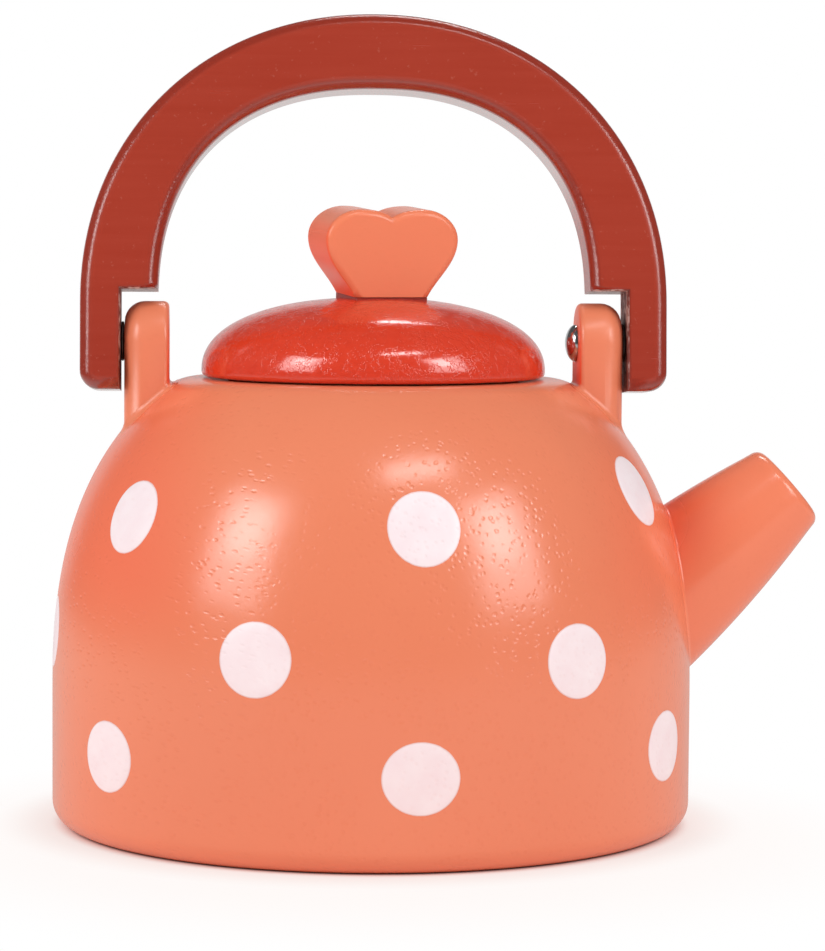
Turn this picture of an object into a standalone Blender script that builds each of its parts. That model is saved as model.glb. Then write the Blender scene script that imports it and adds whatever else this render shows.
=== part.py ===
"""A wooden toy kettle: turned pot, lid with a heart knob, spout and a swinging arch handle.

Units are metres, +Z is up. The pot stands on Z = 0 with its axis on the Z axis.
The spout points along +X and the handle swings about a line along X.
"""

import math

import bmesh
import bpy
from mathutils import Matrix

MM = 0.001

# Clearances
SEAT_GAP = 0.3 * MM            # between pieces that are glued or rest on each other
FACE_GAP = 0.1 * MM            # between flat faces that slide on each other
SCREW_CLEARANCE = 0.3 * MM     # around a screw shank

# Pot
POT_RADIUS = 60.0 * MM
SIDE_HEIGHT = 24.0 * MM        # straight side below the dome
DOME_HEIGHT = 59.5 * MM        # from the straight side up to the seat of the lid
DOME_POWER = 2.5               # 2 is an ellipse, larger is squarer
BASE_ROUND = 4.5 * MM
SEAT_MARGIN = 4.0 * MM         # flat ring left outside the lid
SEAT_EASE = 2.5 * MM           # softened edge between that ring and the dome
FLOOR_THICKNESS = 12.0 * MM
CAVITY_ROUND = 6.0 * MM
MOUTH_CHAMFER = 0.8 * MM

# Lid
LID_RADIUS = 32.2 * MM
LID_RISE = 14.8 * MM
LID_POWER = 2.25
LID_RIM_ROUND = 1.0 * MM
LID_OVERHANG = 5.0 * MM        # rim outside the spigot
LID_TURN = math.radians(15.5)  # the lid is set down turned a little to the handle
SPIGOT_DEPTH = 8.0 * MM
SPIGOT_CLEARANCE = 0.6 * MM
SPIGOT_CHAMFER = 1.0 * MM

# Heart knob
KNOB_HALF_WIDTH = 12.9 * MM
KNOB_WIDEST_HEIGHT = 10.6 * MM
KNOB_HEIGHT = 16.2 * MM
KNOB_LOBE_OFFSET = 6.3 * MM    # from the middle to the top of each lobe
KNOB_CLEFT_DEPTH = 1.4 * MM
KNOB_FOOT_HALF_WIDTH = 7.1 * MM
KNOB_THICKNESS = 13.5 * MM
KNOB_EDGE_ROUND = 1.0 * MM
KNOB_OFFSET = 1.5 * MM         # the heart is glued a little off the lid's middle
KNOB_LEAN = math.radians(3.5)  # and leans forward on the dome

# Ears
EAR_LID_CLEARANCE = 6.0 * MM   # from the lid's rim to the inner face of an ear
EAR_THICKNESS = 8.3 * MM
EAR_WIDTH = 15.0 * MM
EAR_OUTER_ROUND = 3.8 * MM
EAR_INNER_ROUND = 1.0 * MM
EAR_TENON = 9.0 * MM           # buried below the dome
PIVOT_RISE = 6.7 * MM          # from the lid's seat up to the swing line

# Handle
HANDLE_SIDE_GAP = 0.7 * MM     # slit between an ear and the handle, filled by a washer
CHEEK_THICKNESS = 7.5 * MM
CHEEK_DROP = 9.2 * MM          # below the swing line
CHEEK_CORNER = 3.6 * MM
NOTCH_CLEARANCE = 2.0 * MM     # from the top of an ear to the notch
LEG_WIDTH = 14.4 * MM
ARCH_SPRING_RISE = 7.0 * MM    # from the swing line up to the start of the arch
ARCH_RISE = 53.9 * MM
ARCH_POWER = 2.1
ARCH_CROWN_WIDTH = 14.0 * MM
ARCH_INNER_POWER = 2.35
HANDLE_THICKNESS = 14.5 * MM
HANDLE_EDGE_ROUND = 2.6 * MM
HANDLE_LEAN = math.radians(4.5)  # stands leaning back a little, held by friction

# Spout
SPOUT_ROOT_HEIGHT = 46.1 * MM  # where the spout's axis meets the pot
SPOUT_LENGTH = 27.1 * MM       # from there to the tip
SPOUT_ANGLE = math.radians(41.0)
SPOUT_TIP_RADIUS = 8.9 * MM
SPOUT_BUTT_RADIUS = 14.3 * MM
SPOUT_BELLY = 1.0 * MM
SPOUT_TIP_ROUND = 2.0 * MM
DOWEL_RADIUS = 4.0 * MM
DOWEL_LENGTH = 26.0 * MM
DOWEL_CHAMFER = 0.8 * MM

# Screws and washers
SHANK_RADIUS = 1.75 * MM
SCREW_HEAD_RADIUS = 3.5 * MM
SCREW_HEAD_HEIGHT = 2.0 * MM
SCREW_POINT = 2.5 * MM
PIVOT_SCREW_BITE = 4.5 * MM    # thread inside the handle
FLUSH_DEPTH = 0.2 * MM         # the left screw's flat head lies this far below the ear's face
KNOB_SCREW_BITE = 9.0 * MM     # thread inside the heart
HOLE_END_GAP = 0.6 * MM        # left free past the end of a screw or dowel
COUNTERBORE_DEPTH = 3.5 * MM
COUNTERBORE_CLEARANCE = 0.8 * MM
WASHER_RADIUS = 3.7 * MM

# Facets
TURN_STEPS = 64
SMALL_STEPS = 24
ARCH_STEPS = 20
DOME_STEPS = 12

# Sizes that follow from those above
SEAT_HEIGHT = SIDE_HEIGHT + DOME_HEIGHT
SEAT_RADIUS = LID_RADIUS + SEAT_MARGIN
SPIGOT_RADIUS = LID_RADIUS - LID_OVERHANG
MOUTH_RADIUS = SPIGOT_RADIUS + SPIGOT_CLEARANCE
DOME_RISE = DOME_HEIGHT / (1 - (SEAT_RADIUS / POT_RADIUS) ** DOME_POWER) ** (1 / DOME_POWER)
PIVOT_HEIGHT = SEAT_HEIGHT + PIVOT_RISE
EAR_INNER_X = LID_RADIUS + EAR_LID_CLEARANCE
EAR_OUTER_X = EAR_INNER_X + EAR_THICKNESS
CHEEK_INNER_X = EAR_OUTER_X + HANDLE_SIDE_GAP
HANDLE_HALF_WIDTH = CHEEK_INNER_X + CHEEK_THICKNESS
ARCH_INNER_HALF_WIDTH = HANDLE_HALF_WIDTH - LEG_WIDTH
ARCH_INNER_RISE = ARCH_RISE - ARCH_CROWN_WIDTH
NOTCH_RISE = EAR_WIDTH / 2 + NOTCH_CLEARANCE
LID_BASE_HEIGHT = SEAT_HEIGHT + SEAT_GAP
PIVOT_SCREW_LENGTH = EAR_THICKNESS + HANDLE_SIDE_GAP + PIVOT_SCREW_BITE
SCREW_HOLE_RADIUS = SHANK_RADIUS + SCREW_CLEARANCE


def dome_radius(height):
    """Radius of the pot's outside at a height between the straight side and the seat."""
    share = (height - SIDE_HEIGHT) / DOME_RISE
    return POT_RADIUS * (1 - share ** DOME_POWER) ** (1 / DOME_POWER)


def dome_height(radius):
    """Height of the pot's outside at a radius on the dome."""
    share = radius / POT_RADIUS
    return SIDE_HEIGHT + DOME_RISE * (1 - share ** DOME_POWER) ** (1 / DOME_POWER)


def superellipse(half_width, rise, power, start, end, steps):
    """Points (across, up) of a quarter curve between two angles, 0 is the side and pi / 2 the top."""
    points = []
    for step in range(steps + 1):
        angle = start + (end - start) * step / steps
        across = half_width * max(math.cos(angle), 0.0) ** (2 / power)
        up = rise * max(math.sin(angle), 0.0) ** (2 / power)
        points.append((across, up))
    return points


def angle_at_radius(radius, half_width, power):
    """Angle of the superellipse above at which it is this far across."""
    return math.acos((radius / half_width) ** (power / 2))


def arc(centre, radius, start, end, steps):
    """Points of a round corner, angles in degrees."""
    points = []
    for step in range(steps + 1):
        angle = math.radians(start + (end - start) * step / steps)
        points.append((centre[0] + radius * math.cos(angle), centre[1] + radius * math.sin(angle)))
    return points


def along(points, distance):
    """The point this far along a line of points, and the index of the next one."""
    for index in range(1, len(points)):
        before, after = points[index - 1], points[index]
        length = math.dist(before, after)
        if distance < length:
            share = distance / length
            here = tuple(b + (a - b) * share for b, a in zip(before, after))
            return here, index
        distance -= length
    return points[-1], len(points)


def eased(flat_start, corner, curve, reach, steps):
    """A flat line and a curve that meet at a corner, joined by a soft bend."""
    length = math.dist(flat_start, corner)
    share = 1 - reach / length
    bend_start = tuple(f + (c - f) * share for f, c in zip(flat_start, corner))
    bend_end, rest = along(curve, reach)
    bend = []
    for step in range(steps + 1):
        t = step / steps
        weights = ((1 - t) ** 2, 2 * t * (1 - t), t ** 2)
        point = tuple(
            sum(w * p[axis] for w, p in zip(weights, (bend_start, corner, bend_end)))
            for axis in (0, 1)
        )
        bend.append(point)
    return [flat_start] + bend + curve[rest:]


def grown(points, gap):
    """A profile that runs down its outer side, moved outward by a gap."""
    moved = []
    for index, point in enumerate(points):
        before = points[max(index - 1, 0)]
        after = points[min(index + 1, len(points) - 1)]
        across, up = after[0] - before[0], after[1] - before[1]
        length = math.hypot(across, up)
        moved.append((max(point[0] - gap * up / length, 0.0), point[1] + gap * across / length))
    return moved


def clear_scene():
    for thing in list(bpy.data.objects):
        bpy.data.objects.remove(thing, do_unlink=True)


def add_collection(name):
    collection = bpy.data.collections.new(name)
    bpy.context.scene.collection.children.link(collection)
    return collection


def add_material(name, colour, roughness, metallic=0.0):
    material = bpy.data.materials.new(name)
    material.use_nodes = True
    shader = material.node_tree.nodes["Principled BSDF"]
    shader.inputs["Base Color"].default_value = (*colour, 1.0)
    shader.inputs["Roughness"].default_value = roughness
    shader.inputs["Metallic"].default_value = metallic
    return material


def add_object(name, mesh, collection, material=None):
    thing = bpy.data.objects.new(name, mesh)
    collection.objects.link(thing)
    if material:
        mesh.materials.append(material)
    return thing


def add_pivot(name, height, collection):
    """An empty that carries the pieces of one moving group."""
    pivot = bpy.data.objects.new(name, None)
    pivot.empty_display_size = 10 * MM
    pivot.location.z = height
    collection.objects.link(pivot)
    return pivot


def turned(name, profile, collection, material=None, steps=TURN_STEPS, ring=False):
    """A lathe shape from a profile (radius, height) that runs down its outer side."""
    points = [(radius, 0.0, height) for radius, height in profile]
    edges = [(i, i + 1) for i in range(len(points) - 1)]
    if ring:
        edges.append((len(points) - 1, 0))
    mesh = bpy.data.meshes.new(name)
    mesh.from_pydata(points, edges, [])
    thing = add_object(name, mesh, collection, material)
    turn = thing.modifiers.new("turn", "SCREW")
    turn.axis = "Z"
    turn.angle = math.tau
    turn.steps = steps
    turn.render_steps = steps
    turn.use_merge_vertices = True
    turn.merge_threshold = 0.00001
    turn.use_smooth_shade = True
    return thing


def sawn_mesh(name, outline, thickness, bezier=False):
    """A board cut to an outline in X and Y, with its thickness along Z, as a mesh."""
    curve = bpy.data.curves.new(name, "CURVE")
    curve.dimensions = "2D"
    curve.fill_mode = "BOTH"
    curve.extrude = thickness / 2
    curve.resolution_u = 10
    if bezier:
        spline = curve.splines.new("BEZIER")
        spline.bezier_points.add(len(outline) - 1)
        for knot, (x, y, kind) in zip(spline.bezier_points, outline):
            knot.co = (x, y, 0.0)
            knot.handle_left_type = kind
            knot.handle_right_type = kind
    else:
        spline = curve.splines.new("POLY")
        spline.points.add(len(outline) - 1)
        for knot, (x, y) in zip(spline.points, outline):
            knot.co = (x, y, 0.0, 1.0)
    spline.use_cyclic_u = True
    pattern = bpy.data.objects.new(name, curve)
    bpy.context.scene.collection.objects.link(pattern)
    seen = pattern.evaluated_get(bpy.context.evaluated_depsgraph_get())
    mesh = bpy.data.meshes.new_from_object(seen)
    bpy.data.objects.remove(pattern, do_unlink=True)
    shape = bmesh.new()
    shape.from_mesh(mesh)
    bmesh.ops.remove_doubles(shape, verts=shape.verts, dist=0.000001)
    for side in (1, -1):
        caps = [f for f in shape.faces if f.normal.z * side > 0.9]
        bmesh.ops.dissolve_faces(shape, faces=caps)
    bmesh.ops.recalc_face_normals(shape, faces=shape.faces)
    shape.to_mesh(mesh)
    shape.free()
    mesh.name = name
    return mesh


def round_rim(mesh, side, radius, segments):
    """Round the edge around the top (side 1) or bottom (side -1) face of a sawn board."""
    shape = bmesh.new()
    shape.from_mesh(mesh)
    rim = []
    for edge in shape.edges:
        facing = sorted(face.normal.z * side for face in edge.link_faces)
        if facing[-1] > 0.9 and facing[0] < 0.5:
            rim.append(edge)
    bmesh.ops.bevel(shape, geom=rim, offset=radius, segments=segments, profile=0.5,
                    affect="EDGES", material=-1, clamp_overlap=True)
    bmesh.ops.recalc_face_normals(shape, faces=shape.faces)
    shape.to_mesh(mesh)
    shape.free()


def shade(mesh):
    mesh.shade_smooth()
    mesh.set_sharp_from_angle(angle=math.radians(40))


def cut(thing, cutter, name):
    """Take a cutter away from a piece."""
    step = thing.modifiers.new(name, "BOOLEAN")
    step.operation = "DIFFERENCE"
    step.solver = "EXACT"
    step.object = cutter


def as_cutter(thing):
    thing.hide_render = True
    thing.display_type = "WIRE"
    return thing


def block_cutter(name, low, high, collection):
    """A box between two corners."""
    shape = bmesh.new()
    bmesh.ops.create_cube(shape, size=1.0)
    size = [h - l for l, h in zip(low, high)]
    middle = [(h + l) / 2 for l, h in zip(low, high)]
    bmesh.ops.scale(shape, vec=size, verts=shape.verts)
    bmesh.ops.translate(shape, vec=middle, verts=shape.verts)
    mesh = bpy.data.meshes.new(name)
    shape.to_mesh(mesh)
    shape.free()
    return as_cutter(add_object(name, mesh, collection))


def drill_cutter(name, radius, top, bottom, collection):
    """A drill along Z between two heights."""
    profile = [(0.0, top), (radius, top), (radius, bottom), (0.0, bottom)]
    return as_cutter(turned(name, profile, collection, steps=SMALL_STEPS))


def pot_outside():
    """Outer profile of the pot from the lid's seat down to the straight side."""
    start = angle_at_radius(SEAT_RADIUS, POT_RADIUS, DOME_POWER)
    dome = superellipse(POT_RADIUS, DOME_RISE, DOME_POWER, start, 0.0, DOME_STEPS)
    dome = [(radius, SIDE_HEIGHT + up) for radius, up in dome]
    mouth_edge = (MOUTH_RADIUS + MOUTH_CHAMFER, SEAT_HEIGHT)
    return eased(mouth_edge, (SEAT_RADIUS, SEAT_HEIGHT), dome, SEAT_EASE, 3)


def build_pot(collection, material):
    floor_corner = (MOUTH_RADIUS - CAVITY_ROUND, FLOOR_THICKNESS + CAVITY_ROUND)
    base_corner = (POT_RADIUS - BASE_ROUND, BASE_ROUND)
    profile = [(0.0, FLOOR_THICKNESS)]
    profile += arc(floor_corner, CAVITY_ROUND, -90, 0, 4)
    profile.append((MOUTH_RADIUS, SEAT_HEIGHT - MOUTH_CHAMFER))
    profile += pot_outside()
    profile += arc(base_corner, BASE_ROUND, 0, -90, 5)
    profile.append((0.0, 0.0))
    return turned("pot", profile, collection, material)


def build_pot_envelope(collection):
    """The outside of the pot grown by the seat gap, it copes the spout's foot."""
    outside = grown(pot_outside() + [(POT_RADIUS, 0.0)], SEAT_GAP)
    profile = [(0.0, outside[0][1])] + outside + [(0.0, outside[-1][1])]
    return as_cutter(turned("pot_envelope", profile, collection))


def ear_foot_height():
    """Bottom of an ear's tenon, below the lowest place where the ear meets the dome."""
    return dome_height(math.hypot(EAR_OUTER_X, EAR_WIDTH / 2)) - EAR_TENON


def ear_mesh(name, extra):
    """An ear about its swing line: X across the kettle, grown on every side by an extra."""
    half_width = EAR_WIDTH / 2 + extra
    foot = ear_foot_height() - PIVOT_HEIGHT - extra
    outline = arc((0.0, 0.0), half_width, 0, 180, 14)
    outline += [(-half_width, foot), (half_width, foot)]
    mesh = sawn_mesh(name, outline, EAR_THICKNESS + 2 * extra)
    round_rim(mesh, 1, EAR_OUTER_ROUND, 4)
    round_rim(mesh, -1, EAR_INNER_ROUND, 2)
    upright = Matrix(((0, 0, 1, 0), (1, 0, 0, 0), (0, 1, 0, 0), (0, 0, 0, 1)))
    mesh.transform(upright)
    shade(mesh)
    return mesh


def place_ear(thing, side):
    """Side 1 stands over the spout, side -1 away from it, turned half round."""
    thing.location = (side * (EAR_INNER_X + EAR_OUTER_X) / 2, 0.0, PIVOT_HEIGHT)
    if side < 0:
        thing.rotation_euler.z = math.pi


def build_ear(name, side, pot, parts, cutters, material):
    ear = add_object(name, ear_mesh(name, 0.0), parts, material)
    place_ear(ear, side)
    mortise = as_cutter(add_object(name + "_mortise", ear_mesh(name + "_mortise", SEAT_GAP), cutters))
    place_ear(mortise, side)
    cut(pot, mortise, name + "_mortise")
    hole = as_cutter(turned(name + "_hole", ear_hole_profile(side), cutters, steps=SMALL_STEPS))
    hole.rotation_euler.y = math.pi / 2
    hole.location = ear.location
    cut(ear, hole, "screw_hole")


def ear_hole_profile(side):
    """A plain hole on the right, and on the left one countersunk from the inner face."""
    face = EAR_THICKNESS / 2
    mouth = SCREW_HOLE_RADIUS
    if side < 0:
        mouth = SCREW_HEAD_RADIUS + SCREW_CLEARANCE
    depth = FLUSH_DEPTH + SCREW_HEAD_HEIGHT
    return [
        (0.0, 2 * face),
        (mouth, 2 * face),
        (mouth, face - FLUSH_DEPTH),
        (SCREW_HOLE_RADIUS, face - depth),
        (SCREW_HOLE_RADIUS, -2 * face),
        (0.0, -2 * face),
    ]


def spout_frame():
    """Where the spout's axis meets the pot."""
    return dome_radius(SPOUT_ROOT_HEIGHT), SPOUT_ROOT_HEIGHT


def place_on_spout_axis(thing):
    radius, height = spout_frame()
    thing.location = (radius, 0.0, height)
    thing.rotation_euler.y = math.pi / 2 - SPOUT_ANGLE


def build_spout(pot, parts, cutters, paint, bare_wood):
    buried = SPOUT_BUTT_RADIUS * math.tan(SPOUT_ANGLE) + 3 * MM
    total = SPOUT_LENGTH + buried
    shoulder = SPOUT_TIP_RADIUS - SPOUT_TIP_ROUND
    profile = [(0.0, SPOUT_LENGTH)]
    profile += arc((shoulder, SPOUT_LENGTH - SPOUT_TIP_ROUND), SPOUT_TIP_ROUND, 90, 12, 3)
    for step in range(1, 8):
        t = step / 7
        radius = SPOUT_TIP_RADIUS + (SPOUT_BUTT_RADIUS - SPOUT_TIP_RADIUS) * t + 4 * SPOUT_BELLY * t * (1 - t)
        profile.append((radius, SPOUT_LENGTH - SPOUT_TIP_ROUND - (total - SPOUT_TIP_ROUND) * t))
    profile.append((0.0, SPOUT_LENGTH - total))
    spout = turned("spout", profile, parts, paint, steps=40)
    place_on_spout_axis(spout)
    cut(spout, build_pot_envelope(cutters), "cope")
    half = DOWEL_LENGTH / 2
    hole_end = half + HOLE_END_GAP
    hole = drill_cutter("dowel_hole", DOWEL_RADIUS + SEAT_GAP, hole_end, -hole_end, cutters)
    place_on_spout_axis(hole)
    cut(spout, hole, "dowel_hole")
    cut(pot, hole, "dowel_hole")
    ends = DOWEL_RADIUS - DOWEL_CHAMFER
    dowel_profile = [(0.0, half), (ends, half), (DOWEL_RADIUS, half - DOWEL_CHAMFER)]
    dowel_profile += [(DOWEL_RADIUS, DOWEL_CHAMFER - half), (ends, -half), (0.0, -half)]
    dowel = turned("spout_dowel", dowel_profile, parts, bare_wood, steps=SMALL_STEPS)
    place_on_spout_axis(dowel)


def build_lid(lid_pivot, parts, material):
    """Turned about Z with its rim at Z = 0, and bored through for the knob's screw."""
    start = angle_at_radius(SCREW_HOLE_RADIUS, LID_RADIUS, LID_POWER)
    dome = superellipse(LID_RADIUS, LID_RISE - LID_RIM_ROUND, LID_POWER, start, 0.0, DOME_STEPS)
    bore = SCREW_HEAD_RADIUS + COUNTERBORE_CLEARANCE
    rim = (LID_RADIUS - LID_RIM_ROUND, LID_RIM_ROUND)
    profile = [(radius, LID_RIM_ROUND + up) for radius, up in dome]
    profile += arc(rim, LID_RIM_ROUND, 0, -90, 3)[1:]
    profile.append((SPIGOT_RADIUS, 0.0))
    profile.append((SPIGOT_RADIUS, SPIGOT_CHAMFER - SPIGOT_DEPTH))
    profile.append((SPIGOT_RADIUS - SPIGOT_CHAMFER, -SPIGOT_DEPTH))
    profile.append((bore, -SPIGOT_DEPTH))
    profile.append((bore, COUNTERBORE_DEPTH - SPIGOT_DEPTH))
    profile.append((SCREW_HOLE_RADIUS, COUNTERBORE_DEPTH - SPIGOT_DEPTH))
    lid = turned("lid", profile, parts, material, ring=True)
    lid.parent = lid_pivot


def heart_outline():
    """Foot, side, lobe and cleft of the heart, in X and Y, with the foot on Y = 0."""
    right = [
        (KNOB_FOOT_HALF_WIDTH, 0.0, "VECTOR"),
        (KNOB_HALF_WIDTH, KNOB_WIDEST_HEIGHT, "AUTO"),
        (KNOB_LOBE_OFFSET, KNOB_HEIGHT, "AUTO"),
    ]
    left = [(-x, y, kind) for x, y, kind in reversed(right)]
    return right + [(0.0, KNOB_HEIGHT - KNOB_CLEFT_DEPTH, "VECTOR")] + left


def knob_lift():
    """Height of the heart's foot over the lid's top that clears the dome when it leans."""
    return SEAT_GAP + KNOB_THICKNESS / 2 * math.sin(KNOB_LEAN) / 2


def build_knob(lid_pivot, parts, cutters, material):
    mesh = sawn_mesh("heart_knob", heart_outline(), KNOB_THICKNESS, bezier=True)
    round_rim(mesh, 1, KNOB_EDGE_ROUND, 2)
    round_rim(mesh, -1, KNOB_EDGE_ROUND, 2)
    mesh.transform(Matrix.Rotation(math.pi / 2, 4, "X"))
    shade(mesh)
    knob = add_object("heart_knob", mesh, parts, material)
    knob.parent = lid_pivot
    knob.location = (KNOB_OFFSET, 0.0, LID_RISE + knob_lift())
    knob.rotation_euler.x = KNOB_LEAN
    bite_top = LID_RISE + knob_lift() + KNOB_SCREW_BITE
    hole = drill_cutter("knob_hole", SCREW_HOLE_RADIUS, bite_top + HOLE_END_GAP, 0.0, cutters)
    hole.parent = lid_pivot
    cut(knob, hole, "screw_hole")


def screw_profile(length):
    """A round-head screw along Z with the underside of its head at Z = 0 and its point down."""
    head = superellipse(SCREW_HEAD_RADIUS, SCREW_HEAD_HEIGHT, 2.0, math.pi / 2, 0.0, 5)
    shank = [(SHANK_RADIUS, 0.0), (SHANK_RADIUS, SCREW_POINT - length), (0.0, -length)]
    return head + shank


def flush_screw_profile(length):
    """A flat-head screw along Z with the top of its head at Z = 0 and its point down."""
    return [
        (0.0, 0.0),
        (SCREW_HEAD_RADIUS, 0.0),
        (SHANK_RADIUS, -SCREW_HEAD_HEIGHT),
        (SHANK_RADIUS, SCREW_POINT - length),
        (0.0, -length),
    ]


def build_knob_screw(lid_pivot, parts, material):
    seat = COUNTERBORE_DEPTH - SPIGOT_DEPTH - FACE_GAP
    length = LID_RISE + knob_lift() + KNOB_SCREW_BITE - seat
    screw = turned("knob_screw", screw_profile(length), parts, material, steps=SMALL_STEPS)
    screw.parent = lid_pivot
    screw.location.z = seat
    screw.rotation_euler.x = math.pi


def handle_outline():
    """Half-lapped arch before its notches are cut, in X and Y about the swing line."""
    outer = superellipse(HANDLE_HALF_WIDTH, ARCH_RISE, ARCH_POWER, 0.0, math.pi / 2, ARCH_STEPS)
    inner = superellipse(ARCH_INNER_HALF_WIDTH, ARCH_INNER_RISE, ARCH_INNER_POWER,
                         0.0, math.pi / 2, ARCH_STEPS)
    outer = [(across, ARCH_SPRING_RISE + up) for across, up in outer]
    inner = [(across, ARCH_SPRING_RISE + up) for across, up in inner]
    corner = (HANDLE_HALF_WIDTH - CHEEK_CORNER, CHEEK_CORNER - CHEEK_DROP)
    right = arc(corner, CHEEK_CORNER, -90, 0, 4) + outer
    left = [(-across, up) for across, up in reversed(right[:-1])]
    inner_left = [(-across, up) for across, up in inner]
    inner_right = list(reversed(inner[:-1]))
    return (right + left + [(-ARCH_INNER_HALF_WIDTH, -CHEEK_DROP)] + inner_left
            + inner_right + [(ARCH_INNER_HALF_WIDTH, -CHEEK_DROP)])


def build_handle(handle_pivot, parts, cutters, material):
    mesh = sawn_mesh("handle", handle_outline(), HANDLE_THICKNESS)
    round_rim(mesh, 1, HANDLE_EDGE_ROUND, 3)
    round_rim(mesh, -1, HANDLE_EDGE_ROUND, 3)
    mesh.transform(Matrix.Rotation(math.pi / 2, 4, "X"))
    shade(mesh)
    handle = add_object("handle", mesh, parts, material)
    handle.parent = handle_pivot
    for side, name in ((-1, "left"), (1, "right")):
        near, far = sorted((side * CHEEK_INNER_X, side * (ARCH_INNER_HALF_WIDTH - LEG_WIDTH)))
        notch = block_cutter(
            name + "_notch",
            (near, -HANDLE_THICKNESS, -2 * CHEEK_DROP),
            (far, HANDLE_THICKNESS, NOTCH_RISE),
            cutters,
        )
        notch.parent = handle_pivot
        cut(handle, notch, name + "_notch")
        bottom = EAR_INNER_X + FLUSH_DEPTH + PIVOT_SCREW_LENGTH + HOLE_END_GAP
        hole = drill_cutter(name + "_pilot_hole", SCREW_HOLE_RADIUS, EAR_OUTER_X, -bottom, cutters)
        hole.parent = handle_pivot
        hole.rotation_euler.y = -side * math.pi / 2
        cut(handle, hole, name + "_pilot_hole")


def build_pivot_hardware(handle_pivot, parts, steel, dark_steel):
    for side, name in ((-1, "left"), (1, "right")):
        if side < 0:
            profile, head_x = flush_screw_profile(PIVOT_SCREW_LENGTH), EAR_INNER_X + FLUSH_DEPTH
        else:
            profile, head_x = screw_profile(PIVOT_SCREW_LENGTH), EAR_INNER_X - FACE_GAP
        screw = turned(name + "_pivot_screw", profile, parts, steel, steps=SMALL_STEPS)
        screw.parent = handle_pivot
        screw.location.x = side * head_x
        screw.rotation_euler.y = -side * math.pi / 2
        half = HANDLE_SIDE_GAP / 2 - FACE_GAP
        ring = [(WASHER_RADIUS, half), (WASHER_RADIUS, -half)]
        ring += [(SCREW_HOLE_RADIUS, -half), (SCREW_HOLE_RADIUS, half)]
        washer = turned(name + "_pivot_washer", ring, parts, dark_steel, steps=SMALL_STEPS, ring=True)
        washer.parent = handle_pivot
        washer.location.x = side * (EAR_OUTER_X + CHEEK_INNER_X) / 2
        washer.rotation_euler.y = math.pi / 2


def main():
    clear_scene()
    parts = add_collection("toy_kettle")
    cutters = add_collection("cutters")

    coral_paint = add_material("coral_paint", (0.86, 0.22, 0.12), 0.35)
    red_paint = add_material("red_paint", (0.68, 0.05, 0.025), 0.25)
    brick_paint = add_material("brick_paint", (0.36, 0.045, 0.027), 0.45)
    bare_wood = add_material("bare_wood", (0.60, 0.42, 0.26), 0.7)
    steel = add_material("steel", (0.60, 0.60, 0.61), 0.25, 1.0)
    dark_steel = add_material("dark_steel", (0.12, 0.12, 0.13), 0.4, 1.0)

    lid_pivot = add_pivot("lid_axis", LID_BASE_HEIGHT, parts)
    lid_pivot.rotation_euler.z = LID_TURN
    handle_pivot = add_pivot("swing_line", PIVOT_HEIGHT, parts)
    handle_pivot.rotation_euler.x = -HANDLE_LEAN

    pot = build_pot(parts, coral_paint)
    build_ear("left_ear", -1, pot, parts, cutters, coral_paint)
    build_ear("right_ear", 1, pot, parts, cutters, coral_paint)
    build_spout(pot, parts, cutters, coral_paint, bare_wood)
    build_lid(lid_pivot, parts, red_paint)
    build_knob(lid_pivot, parts, cutters, coral_paint)
    build_knob_screw(lid_pivot, parts, steel)
    build_handle(handle_pivot, parts, cutters, brick_paint)
    build_pivot_hardware(handle_pivot, parts, steel, dark_steel)


main()
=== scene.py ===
"""Looks for the wooden toy kettle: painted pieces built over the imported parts."""

import math

import bmesh
import bpy
from mathutils import Matrix, Vector
from mathutils.geometry import interpolate_bezier


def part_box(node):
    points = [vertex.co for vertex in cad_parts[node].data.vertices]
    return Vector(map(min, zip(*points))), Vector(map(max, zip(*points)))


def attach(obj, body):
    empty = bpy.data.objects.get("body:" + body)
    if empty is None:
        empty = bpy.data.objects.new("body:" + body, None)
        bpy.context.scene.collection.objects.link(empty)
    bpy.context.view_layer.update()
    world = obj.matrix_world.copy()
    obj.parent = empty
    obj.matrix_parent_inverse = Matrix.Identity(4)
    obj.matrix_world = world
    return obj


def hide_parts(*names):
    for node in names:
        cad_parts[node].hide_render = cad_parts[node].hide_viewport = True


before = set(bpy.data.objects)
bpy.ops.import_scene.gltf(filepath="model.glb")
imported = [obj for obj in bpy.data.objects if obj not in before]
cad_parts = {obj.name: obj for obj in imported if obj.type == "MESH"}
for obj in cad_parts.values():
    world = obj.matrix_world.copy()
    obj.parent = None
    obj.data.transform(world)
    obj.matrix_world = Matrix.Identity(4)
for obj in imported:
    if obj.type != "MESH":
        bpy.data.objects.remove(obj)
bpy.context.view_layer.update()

MM = 0.001

# Shared by several pieces: the gap under glued or resting ones, and how sharp an edge has to be to stay one
SEAT_GAP = 0.3 * MM
SHARP_ANGLE = math.radians(50)

# Beads of paint end a little below the surfaces they join, and cutters reach a little past them
FILLET_SINK = 0.03 * MM
CUT_OVERLAP = 0.01 * MM

# Pot, with its coat of dots inside the full radius of 60 mm
DOT_FILM = 0.06 * MM
POT_RADIUS = 60.0 * MM - DOT_FILM
SIDE_HEIGHT = 24.0 * MM
DOME_HEIGHT = 59.5 * MM
DOME_POWER = 2.5
BASE_ROUND = 4.5 * MM
SEAT_RADIUS = 36.2 * MM
SEAT_EASE = 2.5 * MM
MOUTH_RADIUS = 27.8 * MM
MOUTH_ROUND = 0.8 * MM
FLOOR_THICKNESS = 12.0 * MM
CAVITY_ROUND = 6.0 * MM
CAVITY_FLOOR_RING = 12.0 * MM
BASE_RINGS = (45, 30, 15, 0)
SEAT_HEIGHT = SIDE_HEIGHT + DOME_HEIGHT
DOME_RISE = DOME_HEIGHT / (1 - (SEAT_RADIUS / POT_RADIUS) ** DOME_POWER) ** (1 / DOME_POWER)

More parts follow.
